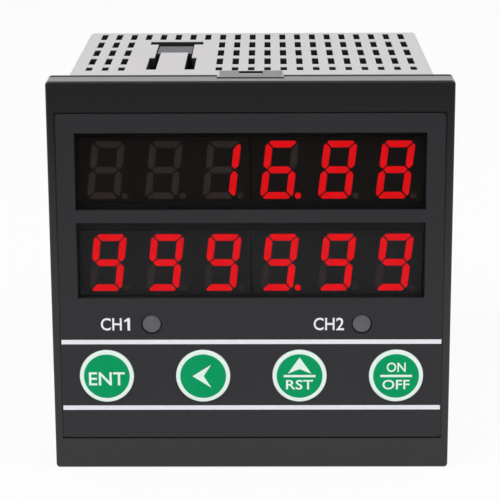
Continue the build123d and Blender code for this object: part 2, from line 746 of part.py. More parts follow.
def terminal_metal(level):
    """Clamp plates, screws and pins of one block."""
    z, pin_z = terminal_places(level)
    clamp_w = TERMINAL_PITCH - TERMINAL_FENCE - 2 * CLAMP_SIDE
    head_seat = TERMINAL_SEAT + CLAMP_T
    clamps = []
    screws = []
    pins = []
    for x in TERMINAL_XS:
        plate = block(x, z, clamp_w, CLAMP_L, TERMINAL_SEAT, head_seat)
        clamps.append(plate - rod(x, z, TERMINAL_SCREW_DIA + 2 * FIT_GAP, TERMINAL_SEAT, head_seat))
        screws.append(slotted_screw(
            x, z, TERMINAL_SCREW_DIA, TERMINAL_SCREW_L, TERMINAL_HEAD_DIA, TERMINAL_HEAD_H, head_seat
        ))
        pins.append(block(x, pin_z, PIN_W, PIN_W, REAR_BOARD_BACK, CASE_BACK + PIN_ENTRY))
    return clamps, screws, pins


# Write the nodes

os.makedirs("parts", exist_ok=True)

save("front_bezel", front_bezel())
save("overlay_film", overlay_film())
save("upper_window_pane", window_pane(UPPER_WINDOW_Z))
save("lower_window_pane", window_pane(LOWER_WINDOW_Z))
save("upper_left_display", display_module(-MODULE_X, UPPER_WINDOW_Z))
save("upper_right_display", display_module(MODULE_X, UPPER_WINDOW_Z))
save("lower_left_display", display_module(-MODULE_X, LOWER_ROW_Z))
save("lower_right_display", display_module(MODULE_X, LOWER_ROW_Z))
lit_segments, dark_segments = sorted_segments()
save_group("lit_segments", lit_segments)
save_group("dark_segments", dark_segments)
save("left_alarm_lamp", alarm_lamp(LAMP_LEFT_X))
save("right_alarm_lamp", alarm_lamp(LAMP_RIGHT_X))

for key_name, key_x in zip(KEY_NAMES, KEY_XS):
    save(key_name + "_key", key_pad(key_x))
    save(key_name + "_switch_stem", key_stem(key_x))
save_group("key_switch_bodies", [switch_body(x) for x in KEY_XS])
save_group("key_switch_covers", [switch_cover(x) for x in KEY_XS])

save("case_shell", case_shell())
save("display_board", display_board())
save_group("display_board_screws", [
    slotted_screw(
        x, z, BOARD_SCREW_DIA, BOARD_SCREW_L + BOARD_T, BOARD_SCREW_HEAD_DIA, BOARD_SCREW_HEAD_H, DISPLAY_BACK
    )
    for x, z in corners(POST_X, POST_Z)
])
save("power_board", long_board(-BOARD_X))
save("main_board", long_board(BOARD_X))
save("rear_board", rear_board())
save_group("board_headers", board_headers())
transformer_core, transformer_bobbin, transformer_winding = transformer()
save("transformer_core", transformer_core)
save("transformer_bobbin", transformer_bobbin)
save("transformer_winding", transformer_winding)
save_group("alarm_relays", relays())
save_group("filter_capacitors", filter_capacitors())
save("heat_sink", heat_sink())
save("voltage_regulator", voltage_regulator())
save("microcontroller", microcontroller())
save("crystal", crystal())

save("rear_cover", rear_cover())
save_group("rear_cover_screws", [
    slotted_screw(
        x, z, COVER_SCREW_DIA, COVER_SCREW_L + COVER_T, COVER_SCREW_HEAD_DIA, COVER_SCREW_HEAD_H, CASE_BACK
    )
    for x, z in corners(CORNER_POST_X, CORNER_POST_Z)
])
save("upper_terminal_block", terminal_block(1))
save("lower_terminal_block", terminal_block(-1))
upper_metal = terminal_metal(1)
lower_metal = terminal_metal(-1)
save_group("terminal_clamps", upper_metal[0] + lower_metal[0])
save_group("terminal_screws", upper_metal[1] + lower_metal[1])
save_group("terminal_pins", upper_metal[2] + lower_metal[2])
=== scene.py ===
"""Looks of the panel counter: finishes, printed marks, small repeated parts, light and camera.

Metres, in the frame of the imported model: X is to the right, the front looks along -Y and Z is up.
"""

import json
import math

import bpy
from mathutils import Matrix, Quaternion, Vector


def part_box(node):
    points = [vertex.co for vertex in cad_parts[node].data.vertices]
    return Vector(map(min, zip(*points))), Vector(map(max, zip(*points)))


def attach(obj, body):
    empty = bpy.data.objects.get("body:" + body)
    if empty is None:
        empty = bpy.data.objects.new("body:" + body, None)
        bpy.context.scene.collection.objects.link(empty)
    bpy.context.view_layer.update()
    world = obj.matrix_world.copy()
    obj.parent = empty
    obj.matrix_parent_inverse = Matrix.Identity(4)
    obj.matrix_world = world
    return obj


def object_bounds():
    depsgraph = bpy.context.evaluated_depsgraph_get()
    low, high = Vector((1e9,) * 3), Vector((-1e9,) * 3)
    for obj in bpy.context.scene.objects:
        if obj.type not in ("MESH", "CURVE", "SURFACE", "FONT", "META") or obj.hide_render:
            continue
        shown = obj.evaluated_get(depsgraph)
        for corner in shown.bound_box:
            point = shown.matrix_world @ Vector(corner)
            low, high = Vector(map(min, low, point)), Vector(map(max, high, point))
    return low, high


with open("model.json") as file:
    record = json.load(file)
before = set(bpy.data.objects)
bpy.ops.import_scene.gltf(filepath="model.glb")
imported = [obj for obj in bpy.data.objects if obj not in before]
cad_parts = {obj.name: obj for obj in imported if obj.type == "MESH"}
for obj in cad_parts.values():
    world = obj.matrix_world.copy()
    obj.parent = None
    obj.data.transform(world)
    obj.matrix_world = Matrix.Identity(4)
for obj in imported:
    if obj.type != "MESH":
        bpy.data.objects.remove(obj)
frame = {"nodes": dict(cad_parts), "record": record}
cad_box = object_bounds()

MM = 0.001

# Printed marks
INK_PROUD = 0.02 * MM
INK_SUNK = 0.02 * MM
LINE_T = 0.88 * MM
LINE_RAISES = {"upper_line": 19.25 * MM, "lower_line": 6.0 * MM}
LABEL_W = 5.8 * MM
LABEL_H = 2.5 * MM
LABEL_FIGURE_W = 1.5 * MM
LABEL_GAP = 0.3 * MM
LAMP_LABELS = {"left_alarm_lamp": ("1", 6.8 * MM), "right_alarm_lamp": ("2", 6.3 * MM)}

# Lettering: how far its outline is widened, as a share of the type size, and the steps of its curves
LETTER_WIDENING = 0.012
LETTER_STEPS = 3

# Figure one, whose corners are shares of its width and height
FIGURE_ONE = ((0.52, 0), (0.86, 0), (0.86, 1), (0.56, 1), (0.14, 0.8), (0.14, 0.64), (0.52, 0.78))

# Unevenness of mouldings: wide clouds of colour and a fine grain
CLOUD_SIZE = 14 * MM
GRAIN_SIZE = 0.35 * MM

# Surfaces that face one way: the least share of the normal, and how softly they end
FACING_SHARE = 0.5
FACING_SOFTNESS = 0.4

# Painted shade inside the case and its holes
CASE_CORNER_R = 1.0 * MM
SKIN = 0.12 * MM
SKIN_SOFTNESS = 0.06 * MM
RIM_DEPTH = 0.8 * MM

# Nub on the case, with painted shade on its front and darker painted shade in its notch
NUB_DEPTH = 17.2 * MM
NUB_EDGE = 0.15 * MM
NUB_SHADE = 0.4
NOTCH_W = 4.8 * MM

# Painted shadow line: matt and dark round the bezel's rear edge, following the scoop in its top
REAR_LINE_DEPTH = 4.9 * MM
REAR_LINE_SOFTNESS = 0.2 * MM
SCOOP_W = 12.6 * MM
SCOOP_D = 2.2 * MM

# Key faces
RING_W = 0.8 * MM
RING_SOFTNESS = 0.08 * MM
RULE_W = 6.1 * MM
RULE_T = 0.45 * MM
WORD_W = 5.2 * MM
SHORT_WORD_W = 3.64 * MM
WORD_H = 1.95 * MM
WORD_OFFSET = 1.75 * MM
ENTER_W = 6.9 * MM
ENTER_H = 2.65 * MM
ENTER_DROP = 0.5 * MM
SIDE_ARROW = ((-2.05, 0), (1.55, 2.3), (0.1, 0), (1.55, -2.3))
UP_ARROW = ((0, 3.75), (-2.25, 0.5), (0, 1.4), (2.25, 0.5))

# Terminal numbers on the rear cover
TERMINALS = 12
PIN_W = 1.0 * MM
NUMBER_H = 1.9 * MM
NUMBER_W = 1.1 * MM
NUMBER_PITCH = 1.4 * MM
NUMBER_GAP = 2.4 * MM

# Solder joints and chip legs inside
JOINT_R = 0.95 * MM
JOINT_H = 0.9 * MM
JOINT_TIP_SHARE = 0.4
JOINT_SIDES = 10
PIN_ROWS = 2
MODULE_PIN_COLUMNS = 8
MODULE_PIN_PITCH = 2.54 * MM
MODULE_ROW_SPACING = 4 * MODULE_PIN_PITCH
LEG_COUNT = 13
LEG_PITCH = 0.8 * MM
LEG_W = 0.35 * MM
LEG_L = 1.4 * MM
LEG_T = 0.3 * MM

# Camera
CAMERA_PLACE = Vector((3.3 * MM, -408.05 * MM, 141.6 * MM))
AIM = Vector((-0.16 * MM, -40.85 * MM, 43.72 * MM))
ROLL = -0.25
LENS = 144.9
SENSOR = 36.0

# Stage
FLOOR_SIZE = 12.0
FLOOR_DROP = 0.1 * MM
FLOOR_GREY = 0.95
FLOOR_GLOW = 0.9
FLOOR_REACH = 220 * MM
FLOOR_FADE = 200 * MM
CARD_PLACE = Vector((0, -2.2, 1.2))
CARD_SIZE = 6.0
CARD_GREY = 0.05
AMBIENT = 0.4

# Soft lamps round the counter: place, size and power
STUDIO_LAMPS = {
    "upper left lamp": ((-0.7, -0.6, 1.2), 0.9, 9.0),
    "upper right lamp": ((0.8, -0.4, 1.1), 0.9, 6.0),
    "front lamp": ((0.1, -1.4, 0.7), 0.8, 2.6),
}


def tone(red, green, blue):
    """Linear colour of a colour given as it looks on a screen, from 0 to 255."""
    linear = []
    for part in (red, green, blue):
        share = part / 255
        linear.append(share / 12.92 if share <= 0.04045 else ((share + 0.055) / 1.055) ** 2.4)
    return (*linear, 1.0)


def shaded(colour, share):
    """The same colour with its brightness changed."""
    return (colour[0] * share, colour[1] * share, colour[2] * share, 1.0)


# Node trees

def plug(tree, socket, value):
    """Link a signal to a socket, or set the socket's own value."""
    if isinstance(value, Signal):
        tree.links.new(value.socket, socket)
    else:
        socket.default_value = value


class Signal:
    """One output socket, on which sums are written as plain expressions."""

    def __init__(self, tree, socket):
        self.tree = tree
        self.socket = socket

    def sum(self, operation, first, second, clamp=False):
        node = self.tree.nodes.new("ShaderNodeMath")
        node.operation = operation
        node.use_clamp = clamp
        plug(self.tree, node.inputs[0], first)
        plug(self.tree, node.inputs[1], second)
        return Signal(self.tree, node.outputs[0])

    def __add__(self, other):
        return self.sum("ADD", self, other)

    def __radd__(self, other):
        return self.sum("ADD", other, self)

    def __sub__(self, other):
        return self.sum("SUBTRACT", self, other)

    def __rsub__(self, other):
        return self.sum("SUBTRACT", other, self)

    def __mul__(self, other):
        return self.sum("MULTIPLY", self, other)

    def __rmul__(self, other):
        return self.sum("MULTIPLY", other, self)

    def __pow__(self, other):
        return self.sum("POWER", self, other)

    def __or__(self, other):
        return self.sum("MAXIMUM", self, other)

    def __abs__(self):
        return self.sum("ABSOLUTE", self, 0)

    def above(self, edge, softness):
        """One where the value is over the edge, nought where it is under, and soft between."""
        return self.sum("ADD", (self - edge) * (1 / softness), 0.5, clamp=True)


class Tree:
    """A node tree with one way to add a node."""

    def __init__(self, tree):
        self.tree = tree

    def node(self, kind, settings=None, sockets=None, output=0):
        """Add a node: its settings first, then a value or a link for each socket that is named."""
        node = self.tree.nodes.new(kind)
        for key, value in (settings or {}).items():
            setattr(node, key, value)
        for key, value in (sockets or {}).items():
            plug(self.tree, node.inputs[key], value)
        return Signal(self.tree, node.outputs[output]) if node.outputs else None

    def parts(self, vector):
        """The three parts of a vector."""
        return [self.node("ShaderNodeSeparateXYZ", None, {"Vector": vector}, axis) for axis in "XYZ"]

    def blend(self, factor, first, second):
        """Colour between two colours."""
        return self.node("ShaderNodeMix", {"data_type": "RGBA"}, {0: factor, 6: first, 7: second}, 2)


class Finish(Tree):
    """A material with one principled shader."""

    def __init__(self, name):
        self.material = bpy.data.materials.new(name)
        self.material.use_nodes = True
        super().__init__(self.material.node_tree)
        self.shader = self.tree.nodes["Principled BSDF"]
        self.place = self.node("ShaderNodeTexCoord", output="Object")

    def stretched(self, scale):
        """Object coordinates drawn out along some of the axes."""
        return self.node("ShaderNodeMapping", None, {"Vector": self.place, "Scale": scale})

    def noise(self, size, detail=2.0, place=None):
        """Cloudy noise whose blotches are about as large as the size given."""
        sockets = {"Vector": place or self.place, "Scale": 1 / size, "Detail": detail}
        return self.node("ShaderNodeTexNoise", None, sockets)

    def uneven(self, colour, spread, cloud):
        """A colour that gets darker and paler by a share, as a cloud goes from nought to one."""
        return self.blend(cloud, shaded(colour, 1 - spread), shaded(colour, 1 + spread))

    def bump(self, height, depth):
        """Normal of a surface whose relief is as deep as given."""
        return self.node("ShaderNodeBump", None, {"Height": height, "Distance": depth})

    def shade(self, sockets):
        """Feed the shader and give back the material."""
        for key, value in sockets.items():
            plug(self.tree, self.shader.inputs[key], value)
        return self.material


# Finishes

def moulded(name, colour, roughness, grain=GRAIN_SIZE, depth=0.02 * MM, spread=0.07, gloss=0.5):
    """Moulded plastic with a fine grain and a faint unevenness of colour."""
    finish = Finish(name)
    cloud = finish.noise(CLOUD_SIZE)
    speck = finish.noise(grain)
    return finish.shade({
        "Base Color": finish.uneven(colour, spread, cloud),
        "Roughness": roughness + 0.12 * (speck - 0.5),
        "Specular IOR Level": gloss,
        "Normal": finish.bump(speck, depth),
    })


def dark_bezel(colour, inner):
    """Dark moulding that is matt black behind the film, with a painted shadow line along its rear edge."""
    finish = Finish("dark bezel")
    low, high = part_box("overlay_film")
    x, y, z = finish.parts(finish.place)
    across = (high.x - abs(x)).above(0, SKIN_SOFTNESS)
    upright = ((high.z - low.z) / 2 - abs(z - (high.z + low.z) / 2)).above(0, SKIN_SOFTNESS)
    behind_film = across * upright * (y - high.y).above(SKIN, SKIN_SOFTNESS)
    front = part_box("front_bezel")[0].y
    # Painted shadow line along the bezel's rear edge, which dips where the scoop is.
    at_scoop = (SCOOP_W / 2 - abs(x)).above(0, SKIN_SOFTNESS) * (z - high.z).above(0, SKIN_SOFTNESS)
    rear_shade_line = (y + SCOOP_D * at_scoop).above(front + REAR_LINE_DEPTH, REAR_LINE_SOFTNESS)
    matt = behind_film | rear_shade_line
    cloud = finish.noise(CLOUD_SIZE)
    speck = finish.noise(GRAIN_SIZE)
    outside = finish.uneven(colour, 0.07, cloud)
    return finish.shade({
        "Base Color": finish.blend(matt, outside, inner),
        "Roughness": 0.24 + 0.1 * (speck - 0.5) + 0.6 * matt,
        "Specular IOR Level": 0.48,
        "Normal": finish.bump(speck, 0.006 * MM),
    })


def coated_case(colour, painted_shade, painted_shade_lit_from_above):
    """Pale grey moulding with painted shade inside, in holes and on the nub, painted paler where it faces up.
    """
    finish = Finish("pale grey case")
    low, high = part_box("case_shell")
    cover_low, cover_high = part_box("rear_cover")
    middle_z = (cover_low.z + cover_high.z) / 2
    x, y, z = finish.parts(finish.place)
    past_x = (abs(x) - (high.x - CASE_CORNER_R)) | 0
    past_z = (abs(z - middle_z) - (middle_z - low.z - CASE_CORNER_R)) | 0
    reach = (past_x * past_x + past_z * past_z) ** 0.5
    # Painted shade: dark under the outer skin, inside the case and in its holes, but not on the rear rim.
    under_skin = (CASE_CORNER_R - SKIN - reach).above(0, SKIN_SOFTNESS)
    normal = finish.parts(finish.node("ShaderNodeNewGeometry", output="Normal"))
    faces_front = (0 - normal[1]).above(FACING_SHARE, FACING_SOFTNESS)
    faces_up = normal[2].above(FACING_SHARE, FACING_SOFTNESS)
    nub_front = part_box("front_bezel")[0].y + NUB_DEPTH
    # Painted shade on the nub's front, and full painted shade in its notch.
    nub = (reach - CASE_CORNER_R).above(NUB_EDGE, SKIN_SOFTNESS) * faces_front
    notch = nub * (y - nub_front).above(NUB_EDGE, NUB_EDGE) * (NOTCH_W / 2 - abs(x)).above(0, SKIN_SOFTNESS)
    painted_shade_mask = under_skin * (high.y - RIM_DEPTH - y).above(0, SKIN_SOFTNESS) | notch | NUB_SHADE * nub
    # The painted shade is painted paler on faces that look up, as if lit from above.
    inner = finish.blend(faces_up, painted_shade, painted_shade_lit_from_above)
    cloud = finish.noise(CLOUD_SIZE)
    speck = finish.noise(GRAIN_SIZE)
    outside = finish.uneven(colour, 0.03, cloud)
    return finish.shade({
        "Base Color": finish.blend(painted_shade_mask, outside, inner),
        "Roughness": 0.55 + 0.12 * (speck - 0.5) + 0.2 * painted_shade_mask,
        "Specular IOR Level": 0.3,
        "Normal": finish.bump(speck, 0.02 * MM),
    })


def window_filter(name, colour, alpha):
    """Smoked filter in front of the digits."""
    finish = Finish(name)
    cloud = finish.noise(9 * MM)
    return finish.shade({
        "Base Color": finish.uneven(colour, 0.15, cloud),
        "Roughness": 0.16 + 0.1 * cloud,
        "Specular IOR Level": 0.12,
        "Alpha": alpha,
    })


def lit_segment():
    """Glowing red bar of a digit."""
    finish = Finish("lit segment")
    cloud = finish.noise(1.6 * MM)
    red = finish.blend(cloud, tone(214, 4, 12), tone(246, 12, 22))
    return finish.shade({
        "Base Color": finish.blend(cloud, tone(70, 4, 6), tone(90, 6, 8)),
        "Roughness": 0.45,
        "Specular IOR Level": 0.05,
        "Emission Color": red,
        "Emission Strength": 0.92,
    })


def key_face(name, centre, radius):
    """Green print with a white ring round a key's rim."""
    finish = Finish(name)
    from_centre = finish.node(
        "ShaderNodeVectorMath", {"operation": "SUBTRACT"}, {0: finish.place, 1: centre}
    )
    across = finish.node("ShaderNodeVectorMath", {"operation": "MULTIPLY"}, {0: from_centre, 1: (1, 0, 1)})
    reach = finish.node("ShaderNodeVectorMath", {"operation": "LENGTH"}, {0: across}, "Value")
    ring = reach.above(radius - RING_W, RING_SOFTNESS)
    cloud = finish.noise(3 * MM)
    green = finish.blend(cloud, tone(0, 146, 90), tone(4, 160, 100))
    return finish.shade({
        "Base Color": finish.blend(ring, green, tone(232, 248, 242)),
        "Roughness": 0.5 + 0.1 * cloud,
        "Specular IOR Level": 0.08,
    })


def white_ink(name, dull, bright):
    """Screen-printed white between two tints."""
    finish = Finish(name)
    cloud = finish.noise(1.2 * MM)
    return finish.shade({
        "Base Color": finish.blend(cloud, dull, bright),
        "Roughness": 0.6 + 0.1 * cloud,
        "Specular IOR Level": 0.3,
    })


def lamp_lens():
    """Unlit lamp of milky grey resin."""
    finish = Finish("lamp lens")
    cloud = finish.noise(1.5 * MM)
    return finish.shade({
        "Base Color": finish.blend(cloud, tone(80, 79, 85), tone(96, 95, 101)),
        "Roughness": 0.35 + 0.1 * cloud,
        "Coat Weight": 0.2 * cloud,
    })


def metal(name, colour, roughness, lines=(1, 1, 14)):
    """Bare metal with fine drawn lines."""
    finish = Finish(name)
    scratch = finish.noise(2.4 * MM, 3.0, finish.stretched(lines))
    return finish.shade({
        "Base Color": finish.blend(scratch, shaded(colour, 0.82), colour),
        "Metallic": 1.0,
        "Roughness": roughness + 0.16 * (scratch - 0.5),
    })


def circuit_board():
    """Green solder resist over fine copper tracks."""
    finish = Finish("circuit board")
    sockets = {"Vector": finish.place, "Scale": 130.0, "Distortion": 2.0, "Detail": 1.0, "Detail Scale": 40.0}
    track = finish.node("ShaderNodeTexWave", {"bands_direction": "Z"}, sockets, "Fac").above(0.8, 0.1)
    return finish.shade({
        "Base Color": finish.blend(track, tone(22, 84, 52), tone(44, 120, 74)),
        "Roughness": 0.38 - 0.08 * track,
        "Normal": finish.bump(track, 0.03 * MM),
    })


def laminated_core():
    """Stack of varnished steel sheets."""
    finish = Finish("laminated core")
    sheets = finish.node(
        "ShaderNodeTexWave", {"bands_direction": "X"}, {"Vector": finish.place, "Scale": 640.0}, "Fac"
    )
    return finish.shade({
        "Base Color": finish.blend(sheets, tone(70, 68, 70), tone(112, 110, 112)),
        "Metallic": 0.7,
        "Roughness": 0.42 + 0.12 * sheets,
        "Normal": finish.bump(sheets, 0.04 * MM),
    })


def winding_tape():
    """Yellow tape wound round the coil."""
    finish = Finish("winding tape")
    turns = finish.node(
        "ShaderNodeTexWave", {"bands_direction": "Y"}, {"Vector": finish.place, "Scale": 90.0}, "Fac"
    )
    return finish.shade({
        "Base Color": finish.blend(turns, tone(206, 160, 44), tone(224, 184, 66)),
        "Roughness": 0.45,
        "Normal": finish.bump(turns, 0.05 * MM),
    })


materials = {
    # Case colour, its painted shade, and that shade painted paler where it faces up.
    "case_grey": coated_case(tone(209, 206, 208), tone(34, 33, 36), tone(110, 108, 113)),
    "bezel_dark": dark_bezel(tone(28, 27, 29), tone(16, 15, 15)),
    "film_dark": moulded(
        "printed film", tone(37, 36, 41), 0.45, grain=0.18 * MM, depth=0.006 * MM, spread=0.05, gloss=0.35
    ),
    "display_black": moulded("display face", tone(18, 15, 14), 0.8, depth=0.002 * MM, gloss=0.1),
    "segment_lit": lit_segment(),
    "segment_dark": moulded(
        "dark segment", tone(48, 40, 37), 0.6, grain=0.5 * MM, depth=0.002 * MM, spread=0.12, gloss=0.15
    ),
    "lamp_grey": lamp_lens(),
    "switch_black": moulded("switch body", tone(38, 38, 40), 0.5),
    "stem_ivory": moulded("switch stem", tone(214, 204, 180), 0.45),
    "steel": metal("plated steel", tone(196, 196, 200), 0.3),
    "brass": metal("tinned brass", tone(214, 190, 130), 0.28),
    "board_green": circuit_board(),
    "header_black": moulded("header strip", tone(36, 36, 38), 0.5),
    "core_steel": laminated_core(),
    "bobbin_white": moulded("bobbin", tone(210, 206, 196), 0.5),
    "winding_tape": winding_tape(),
    "relay_blue": moulded("relay cover", tone(34, 78, 158), 0.3),
    "capacitor_black": moulded("capacitor sleeve", tone(30, 30, 36), 0.25),
    "aluminium": metal("bent aluminium", tone(206, 206, 208), 0.35),
    "chip_black": moulded("chip body", tone(28, 28, 30), 0.55),
    "cover_dark": moulded("rear cover", tone(46, 46, 49), 0.5),
    "terminal_dark": moulded("terminal block", tone(34, 34, 37), 0.48),
}
lower_face = moulded("lower display face", tone(33, 32, 33), 0.8, depth=0.002 * MM, gloss=0.1)
display_materials = {
    "upper_window_pane": window_filter("upper window filter", tone(36, 29, 26), 0.08),
    "lower_window_pane": window_filter("lower window filter", tone(60, 60, 62), 0.06),
    "lower_left_display": lower_face,
    "lower_right_display": lower_face,
}
film_ink = white_ink("film ink", tone(228, 228, 238), tone(244, 244, 250))
key_ink = white_ink("key ink", tone(220, 245, 236), tone(234, 252, 246))


def key_centre(node):
    """Middle of a key's front face."""
    low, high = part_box(node)
    return Vector(((low.x + high.x) / 2, low.y, (low.z + high.z) / 2))


def key_radius(node):
    """Radius of a key."""
    low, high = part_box(node)
    return (high.x - low.x) / 2


def dress_nodes():
    """Give each node of the frame its finish."""
    for part in frame["record"]["subparts"]:
        node = part["node"]
        if node in display_materials:
            finish = display_materials[node]
        elif part["material_slot"] == "key_green":
            finish = key_face(node.replace("_", " "), key_centre(node), key_radius(node))
        else:
            finish = materials[part["material_slot"]]
        for slot in frame["nodes"][node].material_slots:
            slot.material = finish


dress_nodes()


# Shapes of printed marks, in a flat picture plane with a thickness from nought to one

def outline_shape(points):
    """Thin plate over an outline that runs anticlockwise."""
    count = len(points)
    places = [(u, v, 0.0) for u, v in points] + [(u, v, 1.0) for u, v in points]
    faces = [tuple(reversed(range(count))), tuple(range(count, 2 * count))]
    for i in range(count):
        j = (i + 1) % count
        faces.append((i, j, count + j, count + i))
    return places, faces


def rectangle(width, height):
    """Corners of a rectangle about the middle, anticlockwise."""
    u = width / 2
    v = height / 2
    return [(-u, -v), (u, -v), (u, v), (-u, v)]


def bar_shape(width, height):
    """Thin rectangular plate about the middle."""
    return outline_shape(rectangle(width, height))


def arrow_shape(points):
    """Arrow head from its corners in millimetres, which run clockwise or not."""
    scaled = [(u * MM, v * MM) for u, v in points]
    area = sum(a[0] * b[1] - b[0] * a[1] for a, b in zip(scaled, scaled[1:] + scaled[:1]))
    return outline_shape(scaled if area > 0 else scaled[::-1])


def word_shape(word, width, height):
    """Plain lettering fitted to a width and a height."""
    curve = bpy.data.curves.new("word", "FONT")
    curve.body = word
    curve.extrude = 0.5
    curve.offset = LETTER_WIDENING
    curve.resolution_u = LETTER_STEPS
    holder = bpy.data.objects.new("word", curve)
    bpy.context.scene.collection.objects.link(holder)
    graph = bpy.context.evaluated_depsgraph_get()
    mesh = bpy.data.meshes.new_from_object(holder.evaluated_get(graph))
    us = [vertex.co.x for vertex in mesh.vertices]
    vs = [vertex.co.y for vertex in mesh.vertices]
    wide = width / (max(us) - min(us))
    tall = height / (max(vs) - min(vs))
    mid_u = (max(us) + min(us)) / 2
    mid_v = (max(vs) + min(vs)) / 2
    places = [((p.co.x - mid_u) * wide, (p.co.y - mid_v) * tall, p.co.z + 0.5) for p in mesh.vertices]
    faces = [tuple(polygon.vertices) for polygon in mesh.polygons]
    bpy.data.objects.remove(holder)
    bpy.data.curves.remove(curve)
    bpy.data.meshes.remove(mesh)
    return places, faces


def figure_shape(figure, width, height):
    """One figure; the one has a flag, so that it can't be taken for a letter."""
    if figure != "1":
        return word_shape(figure, width, height)
    return outline_shape([((u - 0.5) * width, (v - 0.5) * height) for u, v in FIGURE_ONE])


def add_piece(name, mesh, body, material):
    """Make a mesh one piece of the object."""
    mesh.materials.clear()
    mesh.materials.append(material)
    piece = bpy.data.objects.new(name, mesh)
    bpy.context.scene.collection.objects.link(piece)
    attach(piece, body)
    return piece


def stamp(name, marks, surface_y, body, ink=film_ink, facing=-1):
    """One piece of ink from marks, each a shape with its x and z, on a surface that faces along Y."""
    places = []
    faces = []
    for (shape_places, shape_faces), x, z in marks:
        first = len(places)
        for u, v, w in shape_places:
            y = surface_y + facing * (w * (INK_PROUD + INK_SUNK) - INK_SUNK)
            places.append((x - facing * u, y, z + v))
        faces += [tuple(first + i for i in face) for face in shape_faces]
    mesh = bpy.data.meshes.new(name)
    mesh.from_pydata(places, [], faces)
    mesh.update()
    return add_piece(name, mesh, body, ink)


def print_film():
    """White lines across the film, and a label beside each lamp."""
    low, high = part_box("overlay_film")
    for name, height in LINE_RAISES.items():
        line = bar_shape(high.x - low.x, LINE_T)
        stamp(name, [(line, (low.x + high.x) / 2, low.z + height)], low.y, "housing")
    letters_w = LABEL_W - LABEL_FIGURE_W - LABEL_GAP
    letters = word_shape("CH", letters_w, LABEL_H)
    for lamp, (figure, offset) in LAMP_LABELS.items():
        lamp_low, lamp_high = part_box(lamp)
        left = (lamp_low.x + lamp_high.x) / 2 - offset - LABEL_W / 2
        z = (lamp_low.z + lamp_high.z) / 2
        marks = [
            (letters, left + letters_w / 2, z),
            (figure_shape(figure, LABEL_FIGURE_W, LABEL_H), left + LABEL_W - LABEL_FIGURE_W / 2, z),
        ]
        stamp(lamp.replace("alarm_lamp", "lamp_label"), marks, low.y, "housing")


def print_keys():
    """Signs on the four keys, each of which moves with its key."""
    rule = bar_shape(RULE_W, RULE_T)
    signs = {
        "set": [(word_shape("ENT", ENTER_W, ENTER_H), 0, -ENTER_DROP)],
        "shift": [(arrow_shape(SIDE_ARROW), 0, 0)],
        "up": [
            (arrow_shape(UP_ARROW), 0, 0),
            (rule, 0, 0),
            (word_shape("RST", WORD_W, WORD_H), 0, -WORD_OFFSET),
        ],
        "reset": [
            (word_shape("ON", SHORT_WORD_W, WORD_H), 0, WORD_OFFSET),
            (rule, 0, 0),
            (word_shape("OFF", WORD_W, WORD_H), 0, -WORD_OFFSET),
        ],
    }
    for key, shapes in signs.items():
        centre = key_centre(key + "_key")
        marks = [(shape, centre.x + u, centre.z + v) for shape, u, v in shapes]
        stamp(key + "_sign", marks, centre.y, key + "_button", key_ink)


def print_terminal_numbers():
    """Plain numbers on the rear cover, beside the terminals."""
    pins_low, pins_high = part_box("terminal_pins")
    cover_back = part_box("rear_cover")[1].y
    first_x = pins_high.x - PIN_W / 2
    pitch = (pins_high.x - pins_low.x - PIN_W) / (TERMINALS - 1)
    upper_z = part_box("upper_terminal_block")[0].z - NUMBER_GAP
    lower_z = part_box("lower_terminal_block")[1].z + NUMBER_GAP
    marks = []
    for i in range(TERMINALS):
        x = first_x - i * pitch
        for number, z in ((i + 1, upper_z), (i + 1 + TERMINALS, lower_z)):
            figures = str(number)
            for place, figure in enumerate(figures):
                offset = ((len(figures) - 1) / 2 - place) * NUMBER_PITCH
                marks.append((figure_shape(figure, NUMBER_W, NUMBER_H), x + offset, z))
    stamp("terminal_numbers", marks, cover_back, "housing", facing=1)


print_film()
print_keys()
print_terminal_numbers()


# Small repeated parts, made by rule

class Rule(Tree):
    """A geometry tree with named inputs."""

    def __init__(self, name, inputs):
        super().__init__(bpy.data.node_groups.new(name, "GeometryNodeTree"))
        self.sockets = {}
        self.tree.interface.new_socket("Geometry", in_out="OUTPUT", socket_type="NodeSocketGeometry")
        source = self.tree.nodes.new("NodeGroupInput")
        for key, kind in inputs.items():
            socket = self.tree.interface.new_socket(key, in_out="INPUT", socket_type=kind)
            self.sockets[key] = socket.identifier
        self.inputs = {key: Signal(self.tree, source.outputs[key]) for key in inputs}

    def finish(self, geometry):
        """End the tree: instances made real, with the material that is given."""
        solid = self.node("GeometryNodeRealizeInstances", None, {"Geometry": geometry})
        sockets = {"Geometry": solid, "Material": self.inputs["Material"]}
        last = self.node("GeometryNodeSetMaterial", None, sockets)
        self.node("NodeGroupOutput", None, {"Geometry": last})

    def make(self, name, values, body, slot):
        """Run the tree with its inputs set, and keep the result as a plain mesh."""
        holder = bpy.data.objects.new(name, bpy.data.meshes.new(name))
        bpy.context.scene.collection.objects.link(holder)
        modifier = holder.modifiers.new(name, "NODES")
        modifier.node_group = self.tree
        for key, value in values.items():
            modifier[self.sockets[key]] = value
        graph = bpy.context.evaluated_depsgraph_get()
        mesh = bpy.data.meshes.new_from_object(holder.evaluated_get(graph))
        bpy.data.objects.remove(holder)
        return add_piece(name, mesh, body, values["Material"])


